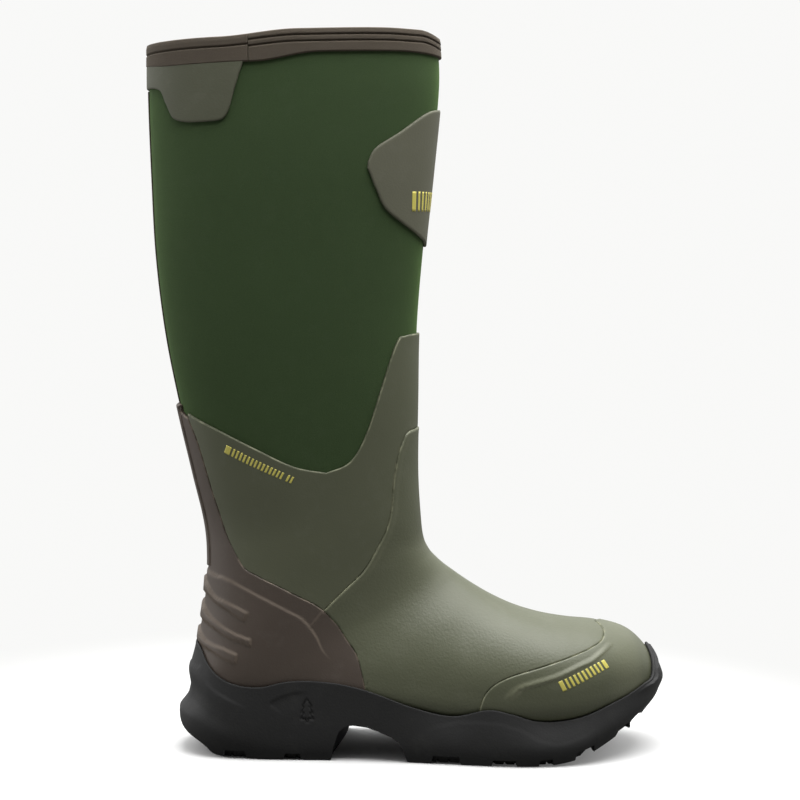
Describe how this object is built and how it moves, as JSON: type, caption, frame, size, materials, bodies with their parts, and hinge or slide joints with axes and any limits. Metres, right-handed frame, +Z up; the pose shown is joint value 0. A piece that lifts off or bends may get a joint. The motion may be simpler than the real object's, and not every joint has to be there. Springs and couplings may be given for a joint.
{
  "type": "insulated hunting boot",
  "caption": "Tall pull-on right boot: neoprene bootie with knitted rim binding, rubber ankle, heel, vamp and toe overlays, and a lugged outsole with an open arch.",
  "frame": {"origin": "on the ground, under the middle of the boot's bounding box", "axes": "+X towards the toe, +Y towards the inner side of the foot, +Z up the shaft"},
  "size_m": [0.3268, 0.1146, 0.4506],
  "materials": {
    "neoprene": "fine knit face on closed-cell foam, soft sheen",
    "lining": "brushed fleece",
    "olive_rubber": "matte, finely pebbled",
    "brown_rubber": "matte, smooth",
    "outsole_rubber": "matte, faintly grained",
    "badge_rubber": "matte, smooth",
    "print_yellow": "matte printed ink",
    "binding": "ribbed knit",
    "thread": "twisted sewing thread",
    "footbed": "foam with a fabric face",
    "midsole": "closed-cell foam",
    "board": "pressed fibre sheet",
    "shank": "bare spring steel"
  },
  "bodies": {
    "root": {"neoprene_shaft": "neoprene", "bootie_foot": "neoprene", "lining_shaft": "lining", "lining_foot": "lining", "footbed": "footbed", "insole_board": "board", "shank": "shank", "midsole": "midsole", "outsole": "outsole_rubber", "ankle_shell": "olive_rubber", "vamp_shell": "olive_rubber", "toe_cap": "olive_rubber", "heel_stiffener": "board", "heel_counter": "brown_rubber", "heel_spine": "brown_rubber", "back_seam_tape": "binding", "pull_patch": "olive_rubber", "shin_badge": "badge_rubber", "binding_front": "binding", "binding_back": "binding"}
  },
  "joints": []
}
